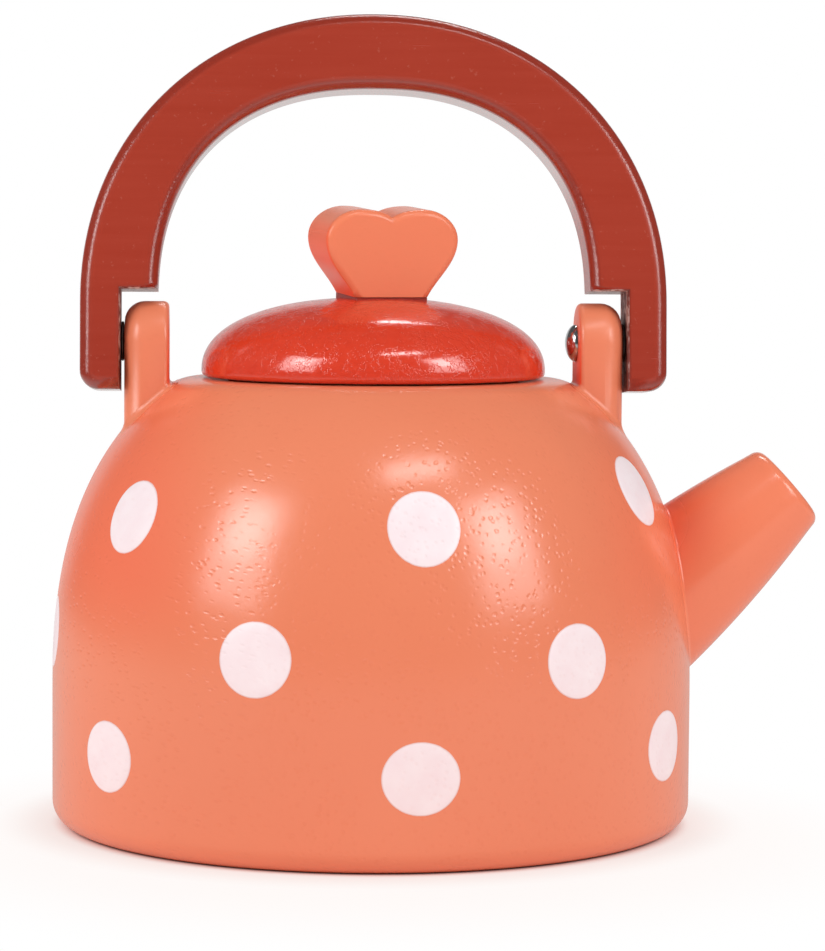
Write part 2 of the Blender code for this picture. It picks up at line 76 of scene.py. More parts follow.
# Polka dots in three staggered rows: degrees from the front and height in millimetres.
# They are round at one height, and each millimetre above it makes them that share taller.
DOT_RADIUS = 6.9 * MM
DOT_EDGE = 0.45 * MM
DOT_RINGS = (0.15, 0.35, 1.5, 1.5, 1.5)
DOT_ROUND_HEIGHT = 40.0 * MM
DOT_STRETCH = 0.0016
DOTS = (
    (-54.3, 60.1), (6.8, 60.0), (63.0, 64.4), (120.0, 61.5), (180.0, 60.5), (240.0, 61.0),
    (-84.6, 36.4), (-22.5, 37.2), (34.9, 36.2), (155.7, 37.0), (215.7, 37.5),
    (-54.4, 17.3), (5.7, 17.1), (60.3, 18.3), (125.7, 17.0), (185.7, 17.5), (245.7, 17.0),
)

# The pot's wood grain runs level, so its pores are round where it ends at the outside
GRAIN_ANGLE = 0.5
GRAIN = (math.sin(GRAIN_ANGLE), -math.cos(GRAIN_ANGLE), 0.0)

# Lid
LID_BASE_HEIGHT = SEAT_HEIGHT + SEAT_GAP
LID_RADIUS = 32.2 * MM
LID_RISE = 14.8 * MM
LID_POWER = 2.25
LID_RIM_ROUND = 1.0 * MM
LID_TURN = math.radians(15.5)
SPIGOT_RADIUS = 27.2 * MM
SPIGOT_DEPTH = 8.0 * MM
SPIGOT_ROUND = 1.0 * MM
SPIGOT_RING_DEPTH = 3.0 * MM
LID_UNDERSIDE_RING = 15.0 * MM
LID_SEAT_RING = 2.0 * MM
COUNTERBORE_RADIUS = 4.3 * MM
COUNTERBORE_DEPTH = 3.5 * MM

# Heart knob, half its outline as points and how far the curve is pulled past them
KNOB_FOOT = Vector((7.1, 0.0)) * MM
KNOB_WIDEST = Vector((12.9, 10.6)) * MM
KNOB_LOBE = Vector((6.2, 16.3)) * MM
KNOB_CLEFT = Vector((0.0, 14.8)) * MM
KNOB_FOOT_PULL = 0.35
KNOB_SIDE_PULL = Vector((0.0, 4.2)) * MM
KNOB_SHOULDER_PULL = Vector((0.0, 3.3)) * MM
KNOB_LOBE_OUTER_PULL = Vector((3.4, 0.0)) * MM
KNOB_LOBE_INNER_PULL = Vector((2.8, 0.0)) * MM
KNOB_CLEFT_PULL = Vector((1.4, 1.0)) * MM
KNOB_THICKNESS = 13.5 * MM
KNOB_ROUND = 1.3 * MM
KNOB_FOOT_ROUND_SHARE = 0.1
KNOB_OFFSET = 1.5 * MM
KNOB_SEAM = 1.4 * MM
KNOB_SEAM_MARGIN = 0.5 * MM
KNOB_LEAN = math.radians(3.5)
KNOB_LIFT = SEAT_GAP + KNOB_THICKNESS / 4 * math.sin(KNOB_LEAN)

# Ears
PIVOT_HEIGHT = SEAT_HEIGHT + 6.7 * MM
EAR_INNER_X = 38.2 * MM
EAR_THICKNESS = 8.3 * MM
EAR_OUTER_X = EAR_INNER_X + EAR_THICKNESS
EAR_MIDDLE_X = EAR_INNER_X + EAR_THICKNESS / 2
EAR_WIDTH = 15.0 * MM
EAR_OUTER_ROUND = 3.8 * MM
EAR_INNER_ROUND = 1.0 * MM
EAR_FILLET = 1.6 * MM

# Handle
CHEEK_INNER_X = 47.2 * MM
CHEEK_DROP = 9.2 * MM
CHEEK_CORNER = 3.6 * MM
NOTCH_RISE = 9.5 * MM
HANDLE_HALF_WIDTH = 54.7 * MM
HANDLE_THICKNESS = 14.5 * MM
HANDLE_ROUND = 2.6 * MM
NOTCH_ROUND = 0.7 * MM
NOTCH_MARGIN = 0.3 * MM
NOTCH_TOLERANCE = 0.1 * MM
HANDLE_LEAN = math.radians(4.5)
ARCH_SPRING_RISE = 7.0 * MM
ARCH_RISE = 53.9 * MM
ARCH_POWER = 2.1
ARCH_INNER_HALF_WIDTH = 40.3 * MM
ARCH_INNER_RISE = 39.9 * MM
ARCH_INNER_POWER = 2.35

# Spout
SPOUT_ROOT_HEIGHT = 46.1 * MM
SPOUT_LENGTH = 27.05 * MM
SPOUT_ANGLE = math.radians(41.0)
SPOUT_TIP_RADIUS = 8.9 * MM
SPOUT_BUTT_RADIUS = 14.3 * MM
SPOUT_BELLY = 1.0 * MM
SPOUT_TIP_ROUND = 2.0 * MM
SPOUT_TIP_RING = 3.0 * MM
SPOUT_BURIED = SPOUT_BUTT_RADIUS * math.tan(SPOUT_ANGLE) + 3 * MM
SPOUT_SHOWN_SHARE = 0.8
SPOUT_FILLET = 0.8 * MM

# Screws and washers
SHANK_RADIUS = 1.75 * MM
SCREW_HOLE_RADIUS = 2.05 * MM
SCREW_HEAD_RADIUS = 3.5 * MM
SCREW_HEAD_HEIGHT = 2.0 * MM
SCREW_HEAD_RING = 2.0 * MM
SCREW_HEAD_EDGE = 0.1 * MM
SCREW_HEAD_STEP = 0.2 * MM
COUNTERSINK_CLEARANCE = 0.3 * MM
SCREW_LENGTH = 13.5 * MM
SCREW_POINT = 2.5 * MM
FLUSH_DEPTH = 0.2 * MM
FACE_GAP = 0.1 * MM
WASHER_RADIUS = 3.7 * MM
WASHER_THICKNESS = 0.5 * MM

# Camera, in the photograph's frame of 825 by 951
CAMERA_AZIMUTH = math.radians(-3.3)
CAMERA_PITCH = math.radians(4.25)
CAMERA_ROLL = math.radians(0.4)
CAMERA_DISTANCE = 0.6609
CAMERA_HEIGHT = 0.1143
CAMERA_SIDEWAYS = 0.0075
CAMERA_LENS = 133.4
CAMERA_SENSOR = 36.0

# Floor and lamps
FLOOR_HALF_SIZE = 1.5
LAMP_AIM = Vector((0.0, 0.0, 0.07))


# Curves shared by several pieces

def superellipse(half_width, rise, power, start, end, steps):
    """Points (across, up) between two angles, 0 is the side and pi / 2 the top."""
    points = []
    for step in range(steps + 1):
        angle = start + (end - start) * step / steps
        across = half_width * max(math.cos(angle), 0.0) ** (2 / power)
        up = rise * max(math.sin(angle), 0.0) ** (2 / power)
        points.append((across, up))
    return points


def arc(centre, radius, start, end, steps):
    """Points of a round corner, angles in degrees."""
    points = []
    for step in range(steps + 1):
        angle = math.radians(start + (end - start) * step / steps)
        points.append((centre[0] + radius * math.cos(angle), centre[1] + radius * math.sin(angle)))
    return points


def dome_height(radius):
    """Height of the pot's outside at a radius."""
    share = min(radius / POT_RADIUS, 1.0)
    return SIDE_HEIGHT + DOME_RISE * (1 - share ** DOME_POWER) ** (1 / DOME_POWER)


def pot_radius(height):
    """Radius of the pot's outside at a height."""
    share = max((height - SIDE_HEIGHT) / DOME_RISE, 0.0)
    return POT_RADIUS * (1 - share ** DOME_POWER) ** (1 / DOME_POWER)


# Making meshes

def as_piece(name, shape, body, finishes, nodes=()):
    """Turn a bmesh into a smooth-shaded piece that rides on a body."""
    bmesh.ops.recalc_face_normals(shape, faces=shape.faces)
    mesh = bpy.data.meshes.new(name)
    shape.to_mesh(mesh)
    shape.free()
    mesh.shade_smooth()
    mesh.set_sharp_from_angle(angle=SHARP_ANGLE)
    piece = bpy.data.objects.new(name, mesh)
    bpy.context.scene.collection.objects.link(piece)
    for finish in finishes:
        mesh.materials.append(finish)
    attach(piece, body)
    if nodes:
        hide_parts(*nodes)
    return piece


def settle(piece):
    """Make the result of a piece's modifiers its mesh."""
    seen = piece.evaluated_get(bpy.context.evaluated_depsgraph_get())
    result = bpy.data.meshes.new_from_object(seen)
    piece.modifiers.clear()
    piece.data = result


def turned(profile, steps, ring=False):
    """Spin a profile (radius, height) round the Z axis."""
    shape = bmesh.new()
    verts = [shape.verts.new((radius, 0.0, height)) for radius, height in profile]
    edges = [shape.edges.new(pair) for pair in zip(verts, verts[1:])]
    if ring:
        edges.append(shape.edges.new((verts[-1], verts[0])))
    bmesh.ops.spin(shape, geom=verts + edges, cent=(0, 0, 0), axis=(0, 0, 1),
                   angle=math.tau, steps=steps, use_merge=True)
    bmesh.ops.remove_doubles(shape, verts=shape.verts, dist=0.000001)
    bmesh.ops.recalc_face_normals(shape, faces=shape.faces)
    return shape


def sawn(outline, thickness):
    """A board cut to an outline in X and Y, with its thickness along Z."""
    shape = bmesh.new()
    verts = [shape.verts.new((x, y, -thickness / 2)) for x, y in outline]
    shape.faces.new(verts)
    grown = bmesh.ops.extrude_face_region(shape, geom=shape.faces[:])
    lifted = [item for item in grown["geom"] if isinstance(item, bmesh.types.BMVert)]
    bmesh.ops.translate(shape, vec=(0, 0, thickness), verts=lifted)
    bmesh.ops.recalc_face_normals(shape, faces=shape.faces)
    return shape


def mark_rims(shape, share_at):
    """Weigh the rims of a sawn board, as shares of the widest rounding."""
    weight = shape.edges.layers.float.new("bevel_weight_edge")
    for edge in shape.edges:
        facing = sorted(abs(face.normal.z) for face in edge.link_faces)
        if facing[-1] > 0.9 and facing[0] < 0.5:
            edge[weight] = share_at((edge.verts[0].co + edge.verts[1].co) / 2)


def round_rims(piece, width, segments, across, clamp=True):
    """Round the weighed rims, and mask them as the edges that wear first and take painted shade."""
    step = piece.modifiers.new("rims", "BEVEL")
    step.limit_method = "WEIGHT"
    step.width = width
    step.segments = segments
    step.profile = 0.5
    step.use_clamp_overlap = clamp
    step.harden_normals = True
    settle(piece)
    mask = piece.data.attributes.new("edge_wear_and_shade", "FLOAT", "POINT")
    for vert, share in zip(piece.data.vertices, mask.data):
        if 0.25 < abs(vert.normal.dot(across)) < 0.97:
            share.value = 1.0


def cut_away(piece, cutter_shape):
    """Take a bmesh away from a piece and keep the result as its mesh."""
    mesh = bpy.data.meshes.new("cutter")
    cutter_shape.to_mesh(mesh)
    cutter_shape.free()
    cutter = bpy.data.objects.new("cutter", mesh)
    bpy.context.scene.collection.objects.link(cutter)
    step = piece.modifiers.new("cut", "BOOLEAN")
    step.operation = "DIFFERENCE"
    step.solver = "EXACT"
    step.object = cutter
    settle(piece)
    piece.data.set_sharp_from_angle(angle=SHARP_ANGLE)
    bpy.data.objects.remove(cutter, do_unlink=True)


def drill_shape(near_radius, far_radius, length, matrix):
    """A drill along Z, pointed or straight, to cut a hole with."""
    shape = bmesh.new()
    bmesh.ops.create_cone(shape, cap_ends=True, segments=48, radius1=far_radius, radius2=near_radius,
                          depth=length, matrix=matrix)
    return shape


def paint_fillet(corners, insides, outsides, steps=5):
    """A hollow bead of paint between two surfaces, from rows of points round their joint."""
    shape = bmesh.new()
    rows = []
    for step in range(steps + 1):
        t = step / steps
        ring = []
        for corner, inside, outside in zip(corners, insides, outsides):
            point = inside * (1 - t) ** 2 + corner * 2 * t * (1 - t) + outside * t ** 2
            ring.append(shape.verts.new(point))
        edges = [shape.edges.new((a, b)) for a, b in zip(ring, ring[1:] + ring[:1])]
        rows.append(edges)
    for lower, upper in zip(rows, rows[1:]):
        bmesh.ops.bridge_loops(shape, edges=lower + upper)
    return shape


# Shading

class Value:
    """A number on a socket, so that shading is written as sums in Python."""

    def __init__(self, finish, socket):
        self.finish = finish
        self.socket = socket

    def _sum(self, operation, first, second):
        made = self.finish.node("ShaderNodeMath", {"operation": operation}, {0: first, 1: second})
        return Value(self.finish, made.outputs[0])

    def __add__(self, other):
        return self._sum("ADD", self, other)

    def __radd__(self, other):
        return self._sum("ADD", other, self)

    def __sub__(self, other):
        return self._sum("SUBTRACT", self, other)

    def __rsub__(self, other):
        return self._sum("SUBTRACT", other, self)

    def __mul__(self, other):
        return self._sum("MULTIPLY", self, other)

    def __rmul__(self, other):
        return self._sum("MULTIPLY", other, self)


class Finish:
    """A material whose nodes are added from Python."""

    def __init__(self, name, tree=None):
        self.material = None
        self.tree = tree
        if tree is None:
            self.material = bpy.data.materials.new(name)
            self.material.use_nodes = True
            self.tree = self.material.node_tree
            self.shader = self.tree.nodes["Principled BSDF"]

    def node(self, kind, settings=None, sockets=None):
        """A new node with its settings, and values or links on its sockets."""
        made = self.tree.nodes.new(kind)
        for key, value in (settings or {}).items():
            setattr(made, key, value)
        for key, value in (sockets or {}).items():
            self.feed(made.inputs[key], value)
        return made

    def feed(self, socket, value):
        """Link a value to a socket, or set a plain number or colour on it."""
        if isinstance(value, Value):
            value = value.socket
        if isinstance(value, bpy.types.NodeSocket):
            self.tree.links.new(value, socket)
        else:
            socket.default_value = value

    def coords(self, stretch=(1, 1, 1), turn=(0, 0, 0)):
        """Object coordinates, turned and then stretched along a grain direction."""
        place = self.node("ShaderNodeTexCoord").outputs["Object"]
        level = self.node("ShaderNodeMapping", {}, {"Vector": place, "Rotation": turn}).outputs["Vector"]
        return self.node("ShaderNodeMapping", {}, {"Vector": level, "Scale": stretch}).outputs["Vector"]

    def noise(self, coords, scale, detail=2.0, roughness=0.5):
        """Soft clouds from 0 to 1."""
        made = self.node("ShaderNodeTexNoise", {},
                         {"Vector": coords, "Scale": scale, "Detail": detail, "Roughness": roughness})
        return Value(self, made.outputs["Fac"])

    def cells(self, coords, scale):
        """Distance from the middle of the nearest of many scattered cells."""
        made = self.node("ShaderNodeTexVoronoi", {}, {"Vector": coords, "Scale": scale})
        return Value(self, made.outputs["Distance"])

    def between(self, value, low, high):
        """0 at low, 1 at high, smooth in between."""
        made = self.node("ShaderNodeMapRange", {"interpolation_type": "SMOOTHSTEP"},
                         {"Value": value, "From Min": low, "From Max": high})
        return Value(self, made.outputs["Result"])

    def mixed(self, share, first, second):
        """The first colour, with a share of the second."""
        made = self.node("ShaderNodeMix", {"data_type": "RGBA"},
                         {"Factor": share, 6: first, 7: second})
        return made.outputs[2]

    def mask(self, name):
        """A number that the mesh holds at each vertex."""
        return Value(self, self.node("ShaderNodeAttribute", {"attribute_name": name}).outputs["Fac"])

    def rays(self, straight, mirrored, scattered=0.0):
        """A value each for the rays that see a background straight on, mirrored or by diffuse light."""
        path = self.node("ShaderNodeLightPath").outputs
        camera, glossy, through, diffuse = (Value(self, path["Is %s Ray" % kind])
                                            for kind in ("Camera", "Glossy", "Transmission", "Diffuse"))
        return camera * straight + (glossy + through) * mirrored + diffuse * scattered

    def along(self, direction):
        """Distance from the origin along a direction."""
        made = self.node("ShaderNodeVectorMath", {"operation": "DOT_PRODUCT"},
                         {0: self.coords(), 1: direction})
        return Value(self, made.outputs["Value"])

    def facing(self, direction):
        """How much the surface faces a direction, 1 is straight."""
        normal = self.node("ShaderNodeNewGeometry").outputs["Normal"]
        made = self.node("ShaderNodeVectorMath", {"operation": "DOT_PRODUCT"}, {0: normal, 1: direction})
        return Value(self, made.outputs["Value"])

    def lifted(self, share):
        """The surface's normal, leaning up by a share of its length."""
        normal = self.node("ShaderNodeNewGeometry").outputs["Normal"]
        upward = self.node("ShaderNodeCombineXYZ", {}, {"Z": share}).outputs[0]
        both = self.node("ShaderNodeVectorMath", {"operation": "ADD"}, {0: normal, 1: upward}).outputs[0]
        return self.node("ShaderNodeVectorMath", {"operation": "NORMALIZE"}, {0: both}).outputs[0]

    def relief(self, height, normal=None):
        """Bump from a height in millimetres."""
        bump = self.node("ShaderNodeBump", {}, {"Height": height, "Distance": MM, "Strength": 1.0})
        if normal is not None:
            self.feed(bump.inputs["Normal"], normal)
        self.feed(self.shader.inputs["Normal"], bump.outputs["Normal"])

    def set(self, **values):
        """Values for the shader's sockets, with underscores in their names."""
        for key, value in values.items():
            self.feed(self.shader.inputs[key.replace("_", " ")], value)


def colour(red, green, blue):
    return (red, green, blue, 1.0)


def paint_relief(finish, plain, pit_depth):
    """Uneven brushed paint in millimetres: slow swells, fine peel and pits over the wood's pores."""
    swell = finish.noise(plain, 60.0, 2.0)
    peel = finish.noise(plain, 520.0, 2.0, 0.5)
    wobble = finish.noise(plain, 1500.0, 2.0)
    from_grain = finish.along(GRAIN)
    end_grain = finish.between(from_grain * from_grain, 0.0010, 0.0020)
    round_pits = finish.between(finish.cells(plain, 800.0) + wobble * 0.3, 0.56, 0.26) * end_grain
    grain = finish.coords((0.9, 0.9, 1.9), (0.0, -0.2, 0.0))
    long_pits = finish.between(finish.cells(grain, 520.0) + wobble * 0.3, 0.52, 0.24) * (1.0 - end_grain)
    pits = (round_pits + long_pits) * finish.between(finish.noise(plain, 90.0, 1.0), 0.28, 0.45)
    return swell * 0.10 + peel * 0.014 - pits * pit_depth, pits


def pot_painted_side_shade(finish):
    """Painted shade: a deeper red on the shoulders to the left and right, where less sheen falls than in
    front.
    """
    across = finish.along((1.0, 0.0, 0.0))
    left = finish.between(across, -0.024, -0.046)
    right = finish.between(across, 0.032, 0.050)
    return (left * 0.38 + right * 0.24) * finish.between(finish.along((0.0, 0.0, 1.0)), 0.030, 0.054)


def spout_painted_shade(finish):
    """Painted shade and painted red light bounced from the pot: deeper red in the corner above the spout's
    root.
    """
    lean, rise = math.cos(SPOUT_ANGLE), math.sin(SPOUT_ANGLE)
    near_root = finish.between(finish.along((lean, 0.0, rise)), 0.096, 0.074)
    upper_side = finish.between(finish.along((-rise, 0.0, lean)), -0.008, 0.010)
    return near_root * upper_side * 0.75


def heart_painted_reflection(finish):
    """Painted reflection of the red lid: deeper red on the heart's sides, more of it low down."""
    sideways = finish.facing((math.cos(LID_TURN), math.sin(LID_TURN), 0.0))
    low = finish.between(finish.along((0.0, 0.0, 1.0)), 0.116, 0.102)
    return finish.between(sideways * sideways, 0.4, 0.8) * (0.2 + low * 0.65)


def ear_painted_reflection(finish):
    """Painted reflection of the red lid beside them: deeper red on the ears' inner faces."""
    across = (1.0, 0.0, 0.0)
    inner = finish.between(finish.along(across) * finish.facing(across), -0.025, -0.036)
    return inner * finish.between(finish.along((0.0, 0.0, 1.0)), 0.106, 0.082) * 0.8


def coral_paint(name, red=0.85, pit_depth=0.0, roughness=0.16, ior=1.66, flush=None):
    """Satin coral paint over fine-pored wood, which may carry a deeper red as painted shade and painted
    reflection.
    """
    finish = Finish(name)
    plain = finish.coords()
    relief, pits = paint_relief(finish, plain, pit_depth)
    clouds = finish.noise(plain, 28.0, 3.0)
    base = finish.mixed(clouds, colour(red, 0.231, 0.115), colour(red + 0.03, 0.261, 0.136))
    # Painted shade: a little darker coral in the pits
    base = finish.mixed(pits * 0.05, base, colour(0.72, 0.14, 0.06))
    roughness = roughness + 0.1 * clouds
    if flush is not None:
        # Painted shade and painted reflection: a deeper red mixed in where the flush function says
        share = flush(finish)
        base = finish.mixed(share, base, colour(1.0, 0.09, 0.025))
        roughness = roughness + 0.4 * share * share
    finish.set(Base_Color=base, Roughness=roughness, IOR=ior)
    finish.relief(relief)
    return finish.material


def dot_paint():
    """Very pale pink dots brushed over the coral."""
    finish = Finish("dot_paint")
    plain = finish.coords()
    relief, pits = paint_relief(finish, plain, 0.03)
    clouds = finish.noise(plain, 260.0, 3.0)
    base = finish.mixed(clouds, colour(0.93, 0.77, 0.81), colour(0.98, 0.90, 0.93))
    # Painted shade: a little darker pink in the pits
    base = finish.mixed(pits * 0.12, base, colour(0.88, 0.62, 0.62))
    base = finish.mixed(finish.mask("dot_edge"), base, colour(0.62, 0.20, 0.12))
    finish.set(Base_Color=base, Roughness=0.30 + 0.1 * clouds)
    finish.relief(relief)
    return finish.material


def lid_paint():
    """Bright red gloss paint, wrinkled as it dried."""
    finish = Finish("lid_paint")
    plain = finish.coords()
    clouds = finish.noise(plain, 60.0, 2.0)
    peel = finish.noise(plain, 700.0, 2.0, 0.5)
    ridge = finish.noise(plain, 360.0, 4.0, 0.6) - 0.5
    wrinkles = finish.between(ridge * ridge, 0.002, 0.0) * finish.between(clouds, 0.32, 0.50)
    base = finish.mixed(peel, colour(0.69, 0.040, 0.013), colour(0.76, 0.056, 0.020))
    finish.set(Base_Color=base, Roughness=0.10 + 0.06 * peel, IOR=1.8)
    finish.relief(clouds * 0.15 + peel * 0.015 - wrinkles * 0.03)
    return finish.material


def handle_paint():
    """Dark brick-red paint on sawn wood, with its grain, rubbed edges that catch bright lines over painted
    shade, and a glossy underside.
    """
    finish = Finish("handle_paint")
    plain = finish.coords()
    grain = finish.coords((0.05, 1.0, 1.0))
    clouds = finish.noise(plain, 30.0, 3.0)
    streaks = finish.noise(grain, 650.0, 3.0, 0.6)
    grit = finish.noise(plain, 1100.0, 2.0, 0.6)
    specks = finish.between(grit, 0.66, 0.74)
    wear_and_shade = finish.mask("edge_wear_and_shade")
    # Painted shade: the handle darkens towards the cheeks, lower down
    painted_low_shade = finish.between(finish.along((0.0, 0.0, 1.0)), 0.110, 0.085)
    shade = streaks * 0.6 + clouds * 0.4
    base = finish.mixed(shade, colour(0.35, 0.031, 0.012), colour(0.44, 0.050, 0.024))
    base = finish.mixed(painted_low_shade * 0.25, base, colour(0.27, 0.022, 0.010))
    # Painted shade: darker on the rounded edges; the same mask also makes them smoother and chipped
    base = finish.mixed(wear_and_shade * 0.45, base, colour(0.20, 0.016, 0.008))
    base = finish.mixed(specks * 0.12, base, colour(0.72, 0.34, 0.27))
    finish.set(Base_Color=base, Roughness=0.19 + 0.12 * streaks - 0.04 * wear_and_shade, IOR=1.6)
    underside = finish.between(finish.facing((0.0, 0.0, -1.0)), 0.2, 0.6)
    finish.set(Coat_Weight=underside, Coat_Roughness=0.12, Coat_IOR=1.8)
    chips = finish.noise(plain, 2200.0, 2.0) * wear_and_shade
    height = clouds * 0.12 + streaks * 0.03 + grit * 0.02 + chips * 0.04
    finish.relief(height, finish.lifted(wear_and_shade * (0.06 + 0.18 * grit)))
    return finish.material


def seam_paint_and_shade():
    """Dark red paint in the joint under the heart, its darkness painted shade in the crevice."""
    finish = Finish("seam_paint_and_shade")
    blotches = finish.noise(finish.coords(), 900.0, 2.0)
    base = finish.mixed(blotches, colour(0.20, 0.018, 0.010), colour(0.42, 0.035, 0.018))
    finish.set(Base_Color=base, Roughness=0.25 + 0.2 * blotches)
    finish.relief(blotches * 0.1)
    return finish.material


def sawn_paint(name, pale, roughness):
    """Rough saw cuts in the handle's notches, where the paint is thin and blotchy."""
    finish = Finish(name)
    plain = finish.coords()
    blotches = finish.noise(plain, 420.0, 3.0, 0.6)
    grit = finish.noise(plain, 1500.0, 2.0, 0.6)
    thin = finish.between(blotches, 0.45, 0.62)
    base = finish.mixed(thin, colour(0.19, 0.032, 0.02), pale)
    finish.set(Base_Color=base, Roughness=roughness + 0.2 * grit, IOR=1.6)
    finish.relief(blotches * 0.15 + grit * 0.05)
    return finish.material


def bare_wood():
    """Pale turned wood inside the pot and under the lid."""
    finish = Finish("bare_wood")
    grain = finish.coords((1.0, 1.0, 0.05))
    streaks = finish.noise(grain, 260.0, 4.0, 0.6)
    base = finish.mixed(streaks, colour(0.50, 0.32, 0.17), colour(0.70, 0.50, 0.30))
    finish.set(Base_Color=base, Roughness=0.6 + 0.15 * streaks)
    finish.relief(streaks * 0.1)
    return finish.material


def bright_steel():
    """Nickel-plated steel of the screws."""
    finish = Finish("bright_steel")
    brushed = finish.noise(finish.coords(), 900.0, 3.0, 0.6)
    base = finish.mixed(brushed, colour(0.55, 0.55, 0.56), colour(0.72, 0.72, 0.73))
    finish.set(Base_Color=base, Roughness=0.10 + 0.12 * brushed, Metallic=1.0)
    finish.relief(brushed * 0.01)
    return finish.material


def dark_steel():
    """Oxidised steel of the washers."""
    finish = Finish("dark_steel")
    spots = finish.noise(finish.coords(), 1200.0, 3.0, 0.6)
    base = finish.mixed(spots, colour(0.06, 0.055, 0.055), colour(0.2, 0.19, 0.19))
    finish.set(Base_Color=base, Roughness=0.3 + 0.2 * spots, Metallic=1.0)
    finish.relief(spots * 0.02)
    return finish.material


# Pot and spout

def pot_profile():
    """The pot's wall from the middle of the cavity's floor, over the mouth and down to the base."""
    start = math.acos((SEAT_RADIUS / POT_RADIUS) ** (DOME_POWER / 2))
    dome = superellipse(POT_RADIUS, DOME_RISE, DOME_POWER, start, 0.0, 60)
    dome = [(radius, SIDE_HEIGHT + up) for radius, up in dome]
    corner = Vector((SEAT_RADIUS, SEAT_HEIGHT))
    bend_start = corner - Vector((SEAT_EASE, 0.0))
    rest = [Vector(point) for point in dome if (Vector(point) - corner).length > SEAT_EASE]
    bend = [bend_start.lerp(corner, t / 8).lerp(corner.lerp(rest[0], t / 8), t / 8) for t in range(8)]
    floor_corner = (MOUTH_RADIUS - CAVITY_ROUND, FLOOR_THICKNESS + CAVITY_ROUND)
    mouth_corner = (MOUTH_RADIUS + MOUTH_ROUND, SEAT_HEIGHT - MOUTH_ROUND)
    cavity_depth = SEAT_HEIGHT - FLOOR_THICKNESS
    cavity = [(0.0, FLOOR_THICKNESS), (CAVITY_FLOOR_RING, FLOOR_THICKNESS)]
    cavity += arc(floor_corner, CAVITY_ROUND, -90, 0, 10)
    cavity += [(MOUTH_RADIUS, FLOOR_THICKNESS + cavity_depth * step / 8) for step in range(2, 8)]
    cavity += arc(mouth_corner, MOUTH_ROUND, 180, 90, 5)
    side = [(POT_RADIUS, SIDE_HEIGHT * step / 12) for step in range(11, 2, -1)]
    base = arc((POT_RADIUS - BASE_ROUND, BASE_ROUND), BASE_ROUND, 0, -90, 12)
    flat = [(radius * MM, 0.0) for radius in BASE_RINGS]
    return cavity + [tuple(point) for point in bend + rest] + side + base + flat


def make_pot(paint, wood):
    """The turned pot, bare inside."""
    shape = turned(pot_profile(), 192)
    for face in shape.faces:
        middle = face.calc_center_median()
        inside = math.hypot(middle.x, middle.y) < MOUTH_RADIUS + MOUTH_ROUND / 2
        if inside and middle.z > FLOOR_THICKNESS / 2:
            face.material_index = 1
    as_piece("pot_turned", shape, "kettle", [paint, wood], ["pot"])


def spout_matrix():
    """Where the spout's axis leaves the pot."""
    lean = Matrix.Rotation(math.pi / 2 - SPOUT_ANGLE, 4, "Y")
    return Matrix.Translation((pot_radius(SPOUT_ROOT_HEIGHT), 0.0, SPOUT_ROOT_HEIGHT)) @ lean


def spout_radius(along):
    """Radius of the spout at a distance from where its axis meets the pot."""
    t = (SPOUT_LENGTH - SPOUT_TIP_ROUND - along) / (SPOUT_LENGTH + SPOUT_BURIED - SPOUT_TIP_ROUND)
    return SPOUT_TIP_RADIUS + (SPOUT_BUTT_RADIUS - SPOUT_TIP_RADIUS) * t + 4 * SPOUT_BELLY * t * (1 - t)


def make_spout(paint):
    """The turned spout, which also stands for its hidden dowel."""
    tip = SPOUT_LENGTH - SPOUT_TIP_ROUND
    root = -SPOUT_BURIED * SPOUT_SHOWN_SHARE
    profile = [(0.0, SPOUT_LENGTH), (SPOUT_TIP_RING, SPOUT_LENGTH)]
    profile += arc((SPOUT_TIP_RADIUS - SPOUT_TIP_ROUND, tip), SPOUT_TIP_ROUND, 90, 12, 8)
    for step in range(1, 25):
        along = tip + (root - tip) * step / 24
        profile.append((spout_radius(along), along))
    profile.append((0.0, root))
    shape = turned(profile, 96)
    bmesh.ops.transform(shape, matrix=spout_matrix(), verts=shape.verts)
    as_piece("spout_turned", shape, "kettle", [paint], ["spout", "spout_dowel"])


def make_spout_fillet(paint):
    """Paint that fills the corner round the spout's foot."""
    place = spout_matrix()
    corners, insides, outsides = [], [], []
    for step in range(96):
        angle = math.tau * step / 96
        out = Vector((math.cos(angle), math.sin(angle), 0.0))
        up = Vector((0.0, 0.0, 1.0))
        low, high = -SPOUT_BURIED, SPOUT_LENGTH - SPOUT_TIP_ROUND
        for _ in range(30):
            along = (low + high) / 2
            corner = place @ (out * spout_radius(along) + up * along)
            if math.hypot(corner.x, corner.y) < pot_radius(corner.z):
                low = along
            else:
                high = along
        above = along + SPOUT_FILLET
        foot = corner + place.to_3x3() @ out * SPOUT_FILLET
        reach = (pot_radius(foot.z) - FILLET_SINK) / math.hypot(foot.x, foot.y)
        corners.append(corner)
        insides.append(place @ (out * (spout_radius(above) - FILLET_SINK) + up * above))
        outsides.append(Vector((foot.x * reach, foot.y * reach, foot.z)))
    shape = paint_fillet(corners, insides, outsides)
    as_piece("spout_fillet", shape, "kettle", [paint])


# Polka dots

def along_side(height, distance):
    """Height reached by going a distance up the pot's outside."""
    steps = 12
    small = 0.1 * MM
    for _ in range(steps):
        slope = (pot_radius(height + small) - pot_radius(height)) / small
        height += distance / steps / math.hypot(1.0, slope)
    return height


def make_dots(paint):
    """Three staggered rows of round dots, each a thin film that follows the pot."""
    dots = bmesh.new()
    edge_mask = dots.verts.layers.float.new("dot_edge")
    for angle, height in DOTS:
        add_dot(dots, edge_mask, height * MM, math.radians(angle))
    as_piece("polka_dots", dots, "kettle", [paint])


